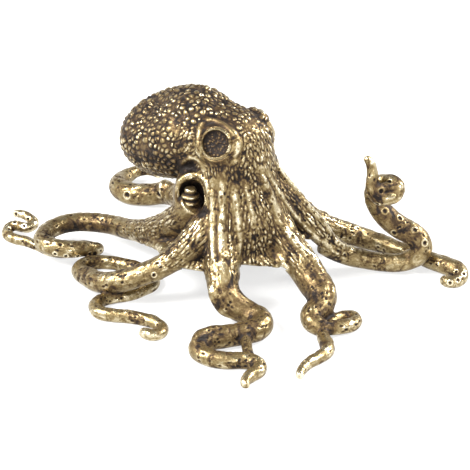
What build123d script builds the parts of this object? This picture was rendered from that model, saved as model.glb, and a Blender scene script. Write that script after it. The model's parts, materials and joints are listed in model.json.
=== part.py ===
import os
from math import cos, radians, sin

from build123d import *

os.makedirs("parts", exist_ok=True)

# Cast brass octopus, in millimetres, resting on its eight arms. It is built about the crown:
# the upright line through the middle of the ring of arms, at floor level. +X is east, +Y north.
arm_reach = 50.0
crown_height = 20.0
arm_radius = 3.5
foot_flat = 0.25

# Skirt of web between the arms, open underneath, and the head on top of it.
skirt_radius = 12.4
skirt_height = 22.0
rim_height = 9.0
hollow_radius = 9.4
hollow_top = 20.5
head_radius = 7.0
head_east = 0.3
head_north = -1.5
head_height = 31.0
head_facing = -45.0

# Mantle: the sack behind the head, and the neck joint that carries it.
mantle_radius = 9.8
mantle_length = 27.0
neck_east = -3.5
neck_north = 1.3
neck_height = 30.9
neck_peg_radius = 2.6
neck_peg_length = 3.4
mantle_gap = 0.08

# Eye cups in their raised bosses, to the left and right of where the head faces.
eye_spread = 80.0
eye_turn = 63.0
eye_tilt = 24.0
eye_stand = 6.7
eye_rise = 1.8
eye_proud = 0.9
eye_outer = 6.2
eye_bore = 5.1
eye_depth = 2.2
eye_dish = 1.5
boss_radius = 3.65
boss_taper = 12.0

# Siphon: a knob in the mouth of its hooded cavity, on the crown's south-west flank.
siphon_east = -8.8
siphon_north = -5.6
siphon_height = 20.2
siphon_radius = 1.8
siphon_length = 5.6
siphon_facing = -108.0
hood_radius = 4.2
hood_length = 11.8
hood_depth = 2.0
cavity_radius = 3.0
cavity_length = 9.2
cavity_aside = 0.55
cavity_out = 0.9
stem_radius = 0.9
stem_reach = 4.6

# Pegs and sockets of the brazed joints.
peg_length = 2.4
peg_share = 0.45
peg_fit = 0.05
peg_end_gap = 0.3

# Each arm runs through these places: east and north of the crown as shares of the reach, the lift
# of its underside as a share of the crown's height, and its thickness as a share of arm_radius.
# The first four places lie in the crown casting, and the arm's own casting starts at the fourth.
arm_shares = {
    "front_arm": (
        (-0.05, -0.14, 0.90, 0.90), (-0.05, -0.18, 0.66, 1.00), (-0.05, -0.23, 0.42, 1.04),
        (-0.05, -0.30, 0.25, 1.00), (-0.04, -0.35, 0.14, 0.88), (0.00, -0.38, 0.06, 0.79),
        (0.06, -0.41, 0.01, 0.72), (0.10, -0.45, 0.00, 0.69), (0.09, -0.51, 0.00, 0.67),
        (0.04, -0.54, 0.00, 0.65), (-0.04, -0.57, 0.00, 0.63), (-0.11, -0.60, 0.00, 0.60),
        (-0.14, -0.65, 0.00, 0.55), (-0.11, -0.70, 0.00, 0.52), (-0.04, -0.73, 0.00, 0.50),
        (0.03, -0.73, 0.00, 0.48), (0.08, -0.75, 0.00, 0.46), (0.09, -0.79, 0.00, 0.43),
        (0.06, -0.83, 0.00, 0.38), (0.04, -0.86, 0.00, 0.32), (0.04, -0.89, 0.00, 0.23),
    ),
    "front_right_arm": (
        (0.09, -0.07, 0.90, 0.90), (0.14, -0.10, 0.67, 0.97), (0.19, -0.14, 0.43, 1.02),
        (0.26, -0.20, 0.26, 1.00), (0.31, -0.26, 0.13, 0.96), (0.34, -0.33, 0.07, 0.89),
        (0.33, -0.38, 0.03, 0.80), (0.30, -0.43, 0.01, 0.70), (0.32, -0.48, 0.01, 0.54),
        (0.37, -0.48, 0.01, 0.44), (0.42, -0.47, 0.01, 0.43), (0.46, -0.44, 0.00, 0.40),
        (0.47, -0.39, 0.00, 0.36), (0.45, -0.37, 0.00, 0.34), (0.41, -0.38, 0.00, 0.34),
        (0.37, -0.43, 0.00, 0.34), (0.34, -0.52, 0.00, 0.37), (0.35, -0.60, 0.00, 0.42),
        (0.35, -0.65, 0.00, 0.41), (0.32, -0.69, 0.00, 0.36), (0.28, -0.73, 0.00, 0.33),
        (0.25, -0.78, 0.00, 0.29), (0.24, -0.82, 0.00, 0.22),
    ),
    "raised_arm": (
        (0.15, -0.02, 0.92, 0.90), (0.22, -0.01, 0.68, 0.94), (0.30, 0.00, 0.43, 0.88),
        (0.37, 0.02, 0.23, 0.75), (0.45, 0.04, 0.10, 0.63), (0.53, 0.05, 0.04, 0.57),
        (0.61, 0.04, 0.02, 0.56), (0.67, 0.03, 0.03, 0.56), (0.72, 0.04, 0.05, 0.59),
        (0.75, 0.03, 0.12, 0.62), (0.76, 0.04, 0.20, 0.65), (0.73, 0.05, 0.29, 0.69),
        (0.67, 0.07, 0.36, 0.71), (0.62, 0.08, 0.46, 0.69), (0.58, 0.10, 0.58, 0.62),
        (0.56, 0.11, 0.70, 0.52), (0.57, 0.10, 0.85, 0.45), (0.61, 0.07, 0.94, 0.39),
        (0.65, 0.04, 0.93, 0.40), (0.65, 0.02, 0.85, 0.40), (0.61, 0.00, 0.82, 0.40),
        (0.57, 0.00, 0.84, 0.40), (0.55, 0.01, 0.93, 0.42), (0.55, 0.02, 1.06, 0.37),
        (0.54, 0.03, 1.19, 0.29), (0.52, 0.03, 1.28, 0.21),
    ),
    "right_arm": (
        (0.14, 0.07, 0.80, 0.86), (0.22, 0.13, 0.52, 0.86), (0.31, 0.20, 0.28, 0.78),
        (0.40, 0.23, 0.14, 0.72), (0.48, 0.24, 0.07, 0.68), (0.56, 0.24, 0.01, 0.62),
        (0.62, 0.21, 0.01, 0.56), (0.68, 0.17, 0.01, 0.50), (0.74, 0.14, 0.01, 0.47),
        (0.80, 0.07, 0.01, 0.52), (0.86, 0.02, 0.01, 0.55), (0.91, -0.03, 0.01, 0.53),
        (0.91, -0.07, 0.00, 0.42), (0.87, -0.09, 0.00, 0.36), (0.84, -0.06, 0.00, 0.29),
    ),
    "rear_arm": (
        (0.04, 0.13, 0.86, 0.86), (0.07, 0.25, 0.56, 0.89), (0.08, 0.36, 0.31, 0.80),
        (0.07, 0.47, 0.15, 0.70), (0.06, 0.58, 0.05, 0.64), (0.09, 0.69, 0.01, 0.60),
        (0.17, 0.74, 0.00, 0.57), (0.25, 0.69, 0.00, 0.54), (0.26, 0.60, 0.00, 0.49),
        (0.20, 0.54, 0.00, 0.43), (0.19, 0.47, 0.00, 0.33),
    ),
    "rear_left_arm": (
        (-0.06, 0.12, 0.86, 0.86), (-0.12, 0.23, 0.58, 0.87), (-0.18, 0.34, 0.34, 0.82),
        (-0.22, 0.46, 0.19, 0.76), (-0.25, 0.57, 0.10, 0.71), (-0.31, 0.65, 0.04, 0.71),
        (-0.39, 0.66, 0.01, 0.70), (-0.47, 0.69, 0.00, 0.71), (-0.51, 0.76, 0.01, 0.65),
        (-0.48, 0.86, 0.03, 0.49), (-0.43, 0.90, 0.07, 0.37), (-0.37, 0.90, 0.08, 0.34),
        (-0.33, 0.88, 0.06, 0.31),
    ),
    "left_arm": (
        (-0.16, -0.12, 0.85, 0.84), (-0.21, -0.07, 0.62, 0.90), (-0.28, 0.01, 0.41, 0.86),
        (-0.36, 0.11, 0.26, 0.75), (-0.44, 0.21, 0.17, 0.64), (-0.52, 0.29, 0.13, 0.60),
        (-0.60, 0.32, 0.12, 0.59), (-0.68, 0.32, 0.12, 0.58), (-0.75, 0.28, 0.12, 0.56),
        (-0.79, 0.21, 0.12, 0.55), (-0.79, 0.14, 0.12, 0.54), (-0.74, 0.10, 0.12, 0.53),
        (-0.68, 0.09, 0.11, 0.53), (-0.62, 0.11, 0.10, 0.49), (-0.58, 0.13, 0.08, 0.43),
        (-0.57, 0.17, 0.04, 0.37), (-0.59, 0.19, 0.01, 0.32), (-0.62, 0.20, 0.00, 0.29),
        (-0.69, 0.17, 0.00, 0.29), (-0.76, 0.18, 0.00, 0.28), (-0.82, 0.23, 0.00, 0.28),
        (-0.87, 0.27, 0.00, 0.33), (-0.93, 0.30, 0.00, 0.33), (-0.96, 0.33, 0.01, 0.33),
        (-0.96, 0.36, 0.03, 0.33), (-0.94, 0.38, 0.05, 0.33), (-0.90, 0.36, 0.06, 0.33),
        (-0.87, 0.35, 0.07, 0.32), (-0.85, 0.38, 0.09, 0.31), (-0.87, 0.40, 0.12, 0.30),
        (-0.90, 0.42, 0.14, 0.29), (-0.94, 0.44, 0.14, 0.24),
    ),
    "front_left_arm": (
        (-0.05, -0.10, 0.80, 0.84), (-0.13, -0.19, 0.60, 0.89), (-0.18, -0.21, 0.48, 0.86),
        (-0.24, -0.21, 0.36, 0.74), (-0.30, -0.22, 0.28, 0.68), (-0.36, -0.23, 0.23, 0.66),
        (-0.42, -0.23, 0.17, 0.65), (-0.48, -0.21, 0.11, 0.65), (-0.54, -0.17, 0.06, 0.63),
        (-0.59, -0.10, 0.03, 0.59), (-0.63, -0.02, 0.01, 0.51), (-0.62, 0.03, 0.01, 0.46),
        (-0.57, 0.07, 0.00, 0.43), (-0.51, 0.07, 0.00, 0.43), (-0.45, 0.05, 0.00, 0.41),
        (-0.39, 0.02, 0.00, 0.40), (-0.34, -0.04, 0.00, 0.39), (-0.33, -0.11, 0.00, 0.37),
        (-0.37, -0.16, 0.00, 0.34), (-0.42, -0.20, 0.00, 0.34), (-0.48, -0.22, 0.00, 0.36),
        (-0.53, -0.25, 0.00, 0.40), (-0.55, -0.30, 0.00, 0.42), (-0.53, -0.35, 0.00, 0.42),
        (-0.48, -0.37, 0.00, 0.41), (-0.42, -0.38, 0.00, 0.40), (-0.36, -0.40, 0.00, 0.39),
        (-0.31, -0.43, 0.00, 0.38), (-0.28, -0.48, 0.00, 0.35), (-0.31, -0.52, 0.00, 0.34),
        (-0.34, -0.51, 0.00, 0.35), (-0.36, -0.49, 0.00, 0.29),
    ),
}
first_own_place = 3
turn_per_span = 25.0

# The skirt and the head above it, from the rim up: height of each round section as a share of
# skirt_height, its radius as a share of skirt_radius, and how far north its centre lies.
skirt_shares = (
    (0.41, 0.98, 0.00), (0.55, 1.00, 0.00), (0.75, 0.96, -0.02),
    (1.00, 0.80, -0.04), (1.20, 0.68, -0.08), (1.38, 0.62, -0.12),
)

# The mantle's centre line from the neck to the tail, east, north and up from the neck joint as
# shares of mantle_length. It swells from the neck to its thickest place, then closes like an egg.
mantle_line_shares = (
    (0.00, 0.00, 0.00), (-0.12, 0.08, 0.00), (-0.29, 0.25, -0.08), (-0.44, 0.43, -0.20),
    (-0.62, 0.66, -0.37),
)
neck_share = 0.79
thickest_share = 0.31
neck_rings = 4
tail_rings = 12
tail_close_angle = 86.0

# Rings of the upright eggs: the siphon's knob, its hood and its cavity.
egg_rings = 9
egg_close_angle = 84.0


def spline_circles(places):
    """Circles square to the smooth line through the places, closer together where it turns."""
    with BuildLine():
        route = Spline(*[place for place, radius in places])
    shares = [route.param_at_point(place) for place, radius in places]
    across = Vector(0, 0, 1).cross(route % 0)
    circles = []
    for number, (start, end) in enumerate(zip(shares, shares[1:])):
        middle = (start + end) / 2
        turn = (route % start).get_angle(route % middle) + (route % middle).get_angle(route % end)
        spans = 1 + int(turn / turn_per_span)
        near = places[number][1]
        far = places[number + 1][1]
        for step in range(spans + 1):
            if step == 0 and number > 0:
                continue
            part_way = step / spans
            spot = start + (end - start) * part_way
            along = route % spot
            across = (across - along * across.dot(along)).normalized()
            plane = Plane(route @ spot, x_dir=across, z_dir=along)
            circles.append((number + part_way, plane, near + (far - near) * part_way))
    return circles


def arm_places(shares):
    """Real places and radii of an arm, its lying stretches sunk by the filed flat."""
    places = []
    for east, north, lift, thick in shares:
        radius = thick * arm_radius
        height = lift * crown_height + radius - foot_flat
        places.append((Vector(east * arm_reach, north * arm_reach, height), radius))
    return places


arm_circles = {name: spline_circles(arm_places(shares)) for name, shares in arm_shares.items()}
castings = {}

# Each arm is its own casting, from the joint with the crown to the tip. Its spans are lofted one
# by one between neighbouring circles, it has a peg for its socket, and its underside is filed flat.
for name, circles in arm_circles.items():
    own = [circle for circle in circles if circle[0] >= first_own_place]
    with BuildPart() as arm:
        spans = []
        for near, far in zip(own, own[1:]):
            for place, plane, radius in (near, far):
                with BuildSketch(plane):
                    Circle(radius)
            spans.append(loft(ruled=True, mode=Mode.PRIVATE))
        add(spans)
        split(bisect_by=Plane.XY, keep=Keep.TOP)
        joint_plane, joint_radius = own[0][1:]
        with BuildSketch(joint_plane):
            Circle(joint_radius * peg_share)
        extrude(amount=-peg_length)
    arm.part.label = name
    castings[name] = arm


def mantle_circles(gap):
    """Rings of the sack from the neck to the tail, grown by a gap."""
    neck = Vector(neck_east, neck_north, neck_height)
    with BuildLine():
        route = Spline(*[neck + Vector(*row) * mantle_length for row in mantle_line_shares])
    rings = []
    for step in range(neck_rings):
        part_way = step / neck_rings
        swell = neck_share + (1 - neck_share) * sin(radians(90 * part_way))
        rings.append((thickest_share * part_way, swell))
    for step in range(tail_rings + 1):
        angle = radians(tail_close_angle * step / tail_rings)
        rings.append((thickest_share + (1 - thickest_share) * sin(angle), cos(angle)))
    across = Vector(0, 0, 1).cross(route % 0)
    circles = []
    for spot, swell in rings:
        along = route % spot
        across = (across - along * across.dot(along)).normalized()
        plane = Plane(route @ spot, x_dir=across, z_dir=along)
        circles.append((plane, swell * mantle_radius + gap))
    return circles


# The mantle is one thick casting with a peg for the neck joint.
with BuildPart() as mantle:
    for plane, radius in mantle_circles(0):
        with BuildSketch(plane):
            Circle(radius)
    loft(ruled=True)
    neck_plane, neck_radius = mantle_circles(0)[0]
    with BuildSketch(neck_plane):
        Circle(neck_peg_radius)
    extrude(amount=-neck_peg_length)
mantle.part.label = "mantle"
castings["mantle"] = mantle

# The space that the mantle needs behind the head.
with BuildPart() as mantle_space:
    for plane, radius in mantle_circles(mantle_gap):
        with BuildSketch(plane):
            Circle(radius)
    loft(ruled=True)

# Eye cups: a turned ring with a dished floor, pressed into its boss. Each faces out to its side.
head_centre = Vector(head_east, head_north, head_height)
eye_planes = {}
for name, side in (("left_eye", -1), ("right_eye", 1)):
    outward = Vector(1, 0, 0).rotate(Axis.Z, head_facing + side * eye_spread)
    facing = Vector(1, 0, 0).rotate(Axis.Y, -eye_tilt).rotate(Axis.Z, head_facing + side * eye_turn)
    rim = head_centre + outward * eye_stand + Vector(0, 0, eye_rise) + facing * eye_proud
    eye_planes[name] = Plane(rim, x_dir=Vector(0, 0, 1).cross(facing), z_dir=facing)
    dish_radius = (eye_bore ** 2 / 4 + eye_dish ** 2) / (2 * eye_dish)
    with BuildPart() as eye:
        with BuildSketch(eye_planes[name]):
            Circle(eye_outer / 2)
        extrude(amount=-eye_depth)
        with Locations(eye_planes[name].offset(dish_radius - eye_dish)):
            Sphere(dish_radius, mode=Mode.SUBTRACT)
    eye.part.label = name
    castings[name] = eye


def egg_circles(centre, radius, length):
    """Level circles of an upright egg, from just above its foot to just below its top."""
    circles = []
    for step in range(egg_rings):
        angle = radians(egg_close_angle * (2 * step / (egg_rings - 1) - 1))
        level = centre + Vector(0, 0, length / 2 * sin(angle))
        circles.append((Plane(level), radius * cos(angle)))
    return circles


# Siphon: an egg-shaped knob on a stem that goes back into the crown.
siphon_turn = Vector(1, 0, 0).rotate(Axis.Z, siphon_facing)
siphon_place = Vector(siphon_east, siphon_north, siphon_height)
siphon_plane = Plane(siphon_place, x_dir=siphon_turn.rotate(Axis.Z, 90), z_dir=siphon_turn)
hood_centre = siphon_place - siphon_turn * hood_depth
cavity_centre = siphon_place + siphon_plane.x_dir * cavity_aside + siphon_turn * cavity_out
with BuildPart() as siphon:
    for plane, radius in egg_circles(siphon_place, siphon_radius, siphon_length):
        with BuildSketch(plane):
            Circle(radius)
    loft()
    with BuildSketch(siphon_plane):
        Circle(stem_radius)
    extrude(amount=-stem_reach)
siphon.part.label = "siphon"
castings["siphon"] = siphon

# The crown casting: skirt, head, neck, eye bosses, siphon hood and the roots of the eight arms.
with BuildPart() as head_web:
    for height, wide, north in skirt_shares:
        section = Plane.XY.offset(height * skirt_height)
        section = section.move(Location((0, north * skirt_radius, 0)))
        with BuildSketch(section):
            Circle(wide * skirt_radius)
    loft()
    with Locations(head_centre):
        Sphere(head_radius)
    neck_start = Plane(head_centre, x_dir=neck_plane.x_dir, z_dir=neck_plane.z_dir)
    for plane, radius in ((neck_start, head_radius), (neck_plane, neck_radius)):
        with BuildSketch(plane):
            Circle(radius)
    loft(ruled=True)
    for eye_plane in eye_planes.values():
        with BuildSketch(eye_plane):
            Circle(boss_radius)
        extrude(amount=-eye_stand / 2, taper=-boss_taper)
    for plane, radius in egg_circles(hood_centre, hood_radius, hood_length):
        with BuildSketch(plane):
            Circle(radius)
    loft()
    spans = []
    for circles in arm_circles.values():
        roots = [circle for circle in circles if circle[0] <= first_own_place]
        for near, far in zip(roots, roots[1:]):
            for place, plane, radius in (near, far):
                with BuildSketch(plane):
                    Circle(radius)
            spans.append(loft(ruled=True, mode=Mode.PRIVATE))
    add(spans)
    add(mantle_space.part, mode=Mode.SUBTRACT)

    # The hollow under the skirt.
    with BuildSketch(Plane.XZ):
        with Locations((0, rim_height)):
            Ellipse(hollow_radius, hollow_top - rim_height)
        split(bisect_by=Plane.YZ)
    revolve(axis=Axis.Z, mode=Mode.SUBTRACT)

    # The siphon's cavity and the socket for its stem.
    for plane, radius in egg_circles(cavity_centre, cavity_radius, cavity_length):
        with BuildSketch(plane):
            Circle(radius)
    loft(mode=Mode.SUBTRACT)
    with BuildSketch(siphon_plane):
        Circle(stem_radius + peg_fit)
    extrude(amount=-stem_reach - peg_end_gap, mode=Mode.SUBTRACT)

    # Sockets for the eye cups, the mantle's peg and the arms' pegs.
    for eye_plane in eye_planes.values():
        with BuildSketch(eye_plane):
            Circle(eye_outer / 2 + peg_fit)
        extrude(amount=-eye_depth, mode=Mode.SUBTRACT)
    with BuildSketch(neck_plane):
        Circle(neck_peg_radius + peg_fit)
    extrude(amount=-neck_peg_length - peg_end_gap, mode=Mode.SUBTRACT)
    for circles in arm_circles.values():
        for place, plane, radius in circles:
            if place == first_own_place:
                with BuildSketch(plane):
                    Circle(radius * peg_share + peg_fit)
                extrude(amount=-peg_length - peg_end_gap, mode=Mode.SUBTRACT)
head_web.part.label = "head_web"
castings["head_web"] = head_web

# The origin goes under the middle of the whole figure, at the height of the filed flats.
boxes = [casting.part.bounding_box() for casting in castings.values()]
middle_east = (min(box.min.X for box in boxes) + max(box.max.X for box in boxes)) / 2
middle_north = (min(box.min.Y for box in boxes) + max(box.max.Y for box in boxes)) / 2
centring = Location((-middle_east, -middle_north, 0))
for name, casting in castings.items():
    placed = casting.part.moved(centring)
    placed.label = name
    export_step(placed, f"parts/{name}.step")
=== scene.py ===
"""Octopus figurine in cast brass, brazed, antiqued and rubbed bright. Lengths in metres."""

import json
import math

import bmesh
import bpy
import numpy as np
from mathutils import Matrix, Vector
from mathutils.bvhtree import BVHTree
from mathutils.kdtree import KDTree

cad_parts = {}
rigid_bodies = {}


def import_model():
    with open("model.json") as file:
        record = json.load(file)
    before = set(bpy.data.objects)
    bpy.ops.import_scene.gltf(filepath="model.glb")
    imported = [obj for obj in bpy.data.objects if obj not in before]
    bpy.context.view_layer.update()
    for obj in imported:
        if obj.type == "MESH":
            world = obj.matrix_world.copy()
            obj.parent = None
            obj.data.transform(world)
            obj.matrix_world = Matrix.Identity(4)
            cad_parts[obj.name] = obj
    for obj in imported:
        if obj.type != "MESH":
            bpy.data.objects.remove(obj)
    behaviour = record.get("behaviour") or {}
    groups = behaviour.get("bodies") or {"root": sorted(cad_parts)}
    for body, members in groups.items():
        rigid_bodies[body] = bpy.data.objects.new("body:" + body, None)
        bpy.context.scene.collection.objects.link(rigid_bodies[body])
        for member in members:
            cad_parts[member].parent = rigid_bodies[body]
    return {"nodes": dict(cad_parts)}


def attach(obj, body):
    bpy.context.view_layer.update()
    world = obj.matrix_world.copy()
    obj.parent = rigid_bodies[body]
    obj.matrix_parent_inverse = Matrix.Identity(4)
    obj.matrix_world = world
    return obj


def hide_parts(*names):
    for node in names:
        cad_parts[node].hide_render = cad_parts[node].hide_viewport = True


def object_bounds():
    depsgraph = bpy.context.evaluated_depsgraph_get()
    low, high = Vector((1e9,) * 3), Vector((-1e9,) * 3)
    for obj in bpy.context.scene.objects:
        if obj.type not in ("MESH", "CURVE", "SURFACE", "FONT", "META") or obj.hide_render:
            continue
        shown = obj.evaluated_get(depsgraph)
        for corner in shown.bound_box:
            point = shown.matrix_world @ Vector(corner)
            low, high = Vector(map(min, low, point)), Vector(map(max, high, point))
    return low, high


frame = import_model()
cad_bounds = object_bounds()
scene = bpy.context.scene
mm = 0.001

# Crown casting. The head, the skirt of web between the arms and the siphon's hood are one
# lost-wax brass casting, open underneath, and everything else is brazed or pressed into it.
crown = Vector((0.95 * mm, -0.82 * mm, 0))


def wax_copy(node, swell):
    """A closed copy of a casting, swollen a little so that it melts into its neighbours."""
    form = bmesh.new()
    form.from_mesh(frame["nodes"][node].data)
    bmesh.ops.remove_doubles(form, verts=form.verts, dist=0.002 * mm)
    form.normal_update()
    for vert in form.verts:
        vert.co += vert.normal * swell
    return form


def add_form(whole, form):
    """Puts a form in with the others that are brazed together."""
    part = bpy.data.meshes.new("form")
    form.to_mesh(part)
    form.free()
    whole.from_mesh(part)
    bpy.data.meshes.remove(part)


blank = bmesh.new()
add_form(blank, wax_copy("head_web", 0))

# Mantle. The sack behind the head is a thick, egg-shaped brass casting. A peg at its small end goes
# into the crown's neck, where it is brazed all round.
mantle_melt = -0.05 * mm
add_form(blank, wax_copy("mantle", mantle_melt))

# Arms. Each is a bent, tapering brass casting brazed into the crown, with its underside filed
# flat where it lies. The rows give east, north and lift of the underside, and the thickness.
arm_reach = 50 * mm
crown_height = 20 * mm
arm_radius = 3.5 * mm
foot_flat = 0.25 * mm
arm_shares = {
    "front_arm": (
        (-0.05, -0.14, 0.90, 0.90), (-0.05, -0.18, 0.66, 1.00), (-0.05, -0.23, 0.42, 1.04),
        (-0.05, -0.30, 0.25, 1.00), (-0.04, -0.35, 0.14, 0.88), (0.00, -0.38, 0.06, 0.79),
        (0.06, -0.41, 0.01, 0.72), (0.10, -0.45, 0.00, 0.69), (0.09, -0.51, 0.00, 0.67),
        (0.04, -0.54, 0.00, 0.65), (-0.04, -0.57, 0.00, 0.63), (-0.11, -0.60, 0.00, 0.60),
        (-0.14, -0.65, 0.00, 0.55), (-0.11, -0.70, 0.00, 0.52), (-0.04, -0.73, 0.00, 0.50),
        (0.03, -0.73, 0.00, 0.48), (0.08, -0.75, 0.00, 0.46), (0.09, -0.79, 0.00, 0.43),
        (0.06, -0.83, 0.00, 0.38), (0.04, -0.86, 0.00, 0.32), (0.04, -0.89, 0.00, 0.23),
    ),
    "front_right_arm": (
        (0.09, -0.07, 0.90, 0.90), (0.14, -0.10, 0.67, 0.97), (0.19, -0.14, 0.43, 1.02),
        (0.26, -0.20, 0.26, 1.00), (0.31, -0.26, 0.13, 0.96), (0.34, -0.33, 0.07, 0.89),
        (0.33, -0.38, 0.03, 0.80), (0.30, -0.43, 0.01, 0.70), (0.32, -0.48, 0.01, 0.54),
        (0.37, -0.48, 0.01, 0.44), (0.42, -0.47, 0.01, 0.43), (0.46, -0.44, 0.00, 0.40),
        (0.47, -0.39, 0.00, 0.36), (0.45, -0.37, 0.00, 0.34), (0.41, -0.38, 0.00, 0.34),
        (0.37, -0.43, 0.00, 0.34), (0.34, -0.52, 0.00, 0.37), (0.35, -0.60, 0.00, 0.42),
        (0.35, -0.65, 0.00, 0.41), (0.32, -0.69, 0.00, 0.36), (0.28, -0.73, 0.00, 0.33),
        (0.25, -0.78, 0.00, 0.29), (0.24, -0.82, 0.00, 0.22),
    ),
    "raised_arm": (
        (0.15, -0.02, 0.92, 0.90), (0.22, -0.01, 0.68, 0.94), (0.30, 0.00, 0.43, 0.88),
        (0.37, 0.02, 0.23, 0.75), (0.45, 0.04, 0.10, 0.63), (0.53, 0.05, 0.04, 0.57),
        (0.61, 0.04, 0.02, 0.56), (0.67, 0.03, 0.03, 0.56), (0.72, 0.04, 0.05, 0.59),
        (0.75, 0.03, 0.12, 0.62), (0.76, 0.04, 0.20, 0.65), (0.73, 0.05, 0.29, 0.69),
        (0.67, 0.07, 0.36, 0.71), (0.62, 0.08, 0.46, 0.69), (0.58, 0.10, 0.58, 0.62),
        (0.56, 0.11, 0.70, 0.52), (0.57, 0.10, 0.85, 0.45), (0.61, 0.07, 0.94, 0.39),
        (0.65, 0.04, 0.93, 0.40), (0.65, 0.02, 0.85, 0.40), (0.61, 0.00, 0.82, 0.40),
        (0.57, 0.00, 0.84, 0.40), (0.55, 0.01, 0.93, 0.42), (0.55, 0.02, 1.06, 0.37),
        (0.54, 0.03, 1.19, 0.29), (0.52, 0.03, 1.28, 0.21),
    ),
    "right_arm": (
        (0.14, 0.07, 0.80, 0.86), (0.22, 0.13, 0.52, 0.86), (0.31, 0.20, 0.28, 0.78),
        (0.40, 0.23, 0.14, 0.72), (0.48, 0.24, 0.07, 0.68), (0.56, 0.24, 0.01, 0.62),
        (0.62, 0.21, 0.01, 0.56), (0.68, 0.17, 0.01, 0.50), (0.74, 0.14, 0.01, 0.47),
        (0.80, 0.07, 0.01, 0.52), (0.86, 0.02, 0.01, 0.55), (0.91, -0.03, 0.01, 0.53),
        (0.91, -0.07, 0.00, 0.42), (0.87, -0.09, 0.00, 0.36), (0.84, -0.06, 0.00, 0.29),
    ),
    "rear_arm": (
        (0.04, 0.13, 0.86, 0.86), (0.07, 0.25, 0.56, 0.89), (0.08, 0.36, 0.31, 0.80),
        (0.07, 0.47, 0.15, 0.70), (0.06, 0.58, 0.05, 0.64), (0.09, 0.69, 0.01, 0.60),
        (0.17, 0.74, 0.00, 0.57), (0.25, 0.69, 0.00, 0.54), (0.26, 0.60, 0.00, 0.49),
        (0.20, 0.54, 0.00, 0.43), (0.19, 0.47, 0.00, 0.33),
    ),
    "rear_left_arm": (
        (-0.06, 0.12, 0.86, 0.86), (-0.12, 0.23, 0.58, 0.87), (-0.18, 0.34, 0.34, 0.82),
        (-0.22, 0.46, 0.19, 0.76), (-0.25, 0.57, 0.10, 0.71), (-0.31, 0.65, 0.04, 0.71),
        (-0.39, 0.66, 0.01, 0.70), (-0.47, 0.69, 0.00, 0.71), (-0.51, 0.76, 0.01, 0.65),
        (-0.48, 0.86, 0.03, 0.49), (-0.43, 0.90, 0.07, 0.37), (-0.37, 0.90, 0.08, 0.34),
        (-0.33, 0.88, 0.06, 0.31),
    ),
    "left_arm": (
        (-0.16, -0.12, 0.85, 0.84), (-0.21, -0.07, 0.62, 0.90), (-0.28, 0.01, 0.41, 0.86),
        (-0.36, 0.11, 0.26, 0.75), (-0.44, 0.21, 0.17, 0.64), (-0.52, 0.29, 0.13, 0.60),
        (-0.60, 0.32, 0.12, 0.59), (-0.68, 0.32, 0.12, 0.58), (-0.75, 0.28, 0.12, 0.56),
        (-0.79, 0.21, 0.12, 0.55), (-0.79, 0.14, 0.12, 0.54), (-0.74, 0.10, 0.12, 0.53),
        (-0.68, 0.09, 0.11, 0.53), (-0.62, 0.11, 0.10, 0.49), (-0.58, 0.13, 0.08, 0.43),
        (-0.57, 0.17, 0.04, 0.37), (-0.59, 0.19, 0.01, 0.32), (-0.62, 0.20, 0.00, 0.29),
        (-0.69, 0.17, 0.00, 0.29), (-0.76, 0.18, 0.00, 0.28), (-0.82, 0.23, 0.00, 0.28),
        (-0.87, 0.27, 0.00, 0.33), (-0.93, 0.30, 0.00, 0.33), (-0.96, 0.33, 0.01, 0.33),
        (-0.96, 0.36, 0.03, 0.33), (-0.94, 0.38, 0.05, 0.33), (-0.90, 0.36, 0.06, 0.33),
        (-0.87, 0.35, 0.07, 0.32), (-0.85, 0.38, 0.09, 0.31), (-0.87, 0.40, 0.12, 0.30),
        (-0.90, 0.42, 0.14, 0.29), (-0.94, 0.44, 0.14, 0.24),
    ),
    "front_left_arm": (
        (-0.05, -0.10, 0.80, 0.84), (-0.13, -0.19, 0.60, 0.89), (-0.18, -0.21, 0.48, 0.86),
        (-0.24, -0.21, 0.36, 0.74), (-0.30, -0.22, 0.28, 0.68), (-0.36, -0.23, 0.23, 0.66),
        (-0.42, -0.23, 0.17, 0.65), (-0.48, -0.21, 0.11, 0.65), (-0.54, -0.17, 0.06, 0.63),
        (-0.59, -0.10, 0.03, 0.59), (-0.63, -0.02, 0.01, 0.51), (-0.62, 0.03, 0.01, 0.46),
        (-0.57, 0.07, 0.00, 0.43), (-0.51, 0.07, 0.00, 0.43), (-0.45, 0.05, 0.00, 0.41),
        (-0.39, 0.02, 0.00, 0.40), (-0.34, -0.04, 0.00, 0.39), (-0.33, -0.11, 0.00, 0.37),
        (-0.37, -0.16, 0.00, 0.34), (-0.42, -0.20, 0.00, 0.34), (-0.48, -0.22, 0.00, 0.36),
        (-0.53, -0.25, 0.00, 0.40), (-0.55, -0.30, 0.00, 0.42), (-0.53, -0.35, 0.00, 0.42),
        (-0.48, -0.37, 0.00, 0.41), (-0.42, -0.38, 0.00, 0.40), (-0.36, -0.40, 0.00, 0.39),
        (-0.31, -0.43, 0.00, 0.38), (-0.28, -0.48, 0.00, 0.35), (-0.31, -0.52, 0.00, 0.34),
        (-0.34, -0.51, 0.00, 0.35), (-0.36, -0.49, 0.00, 0.29),
    ),
}
first_own_place = 3
steps_per_place = 12
arm_sides = 6


def meshed(holder):
    """The object's mesh with its modifiers or its bevel worked in."""
    return bpy.data.meshes.new_from_object(
        holder.evaluated_get(bpy.context.evaluated_depsgraph_get())
    )


def smooth_line(places, radii, steps):
    """A curve through the places, with a radius at each."""
    curve = bpy.data.curves.new("line", "CURVE")
    curve.dimensions = "3D"
    curve.resolution_u = steps
    spline = curve.splines.new("BEZIER")
    spline.bezier_points.add(len(places) - 1)
    for point, place, radius in zip(spline.bezier_points, places, radii):
        point.co = place
        point.radius = radius
        point.handle_left_type = "AUTO"
        point.handle_right_type = "AUTO"
    return curve


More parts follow.
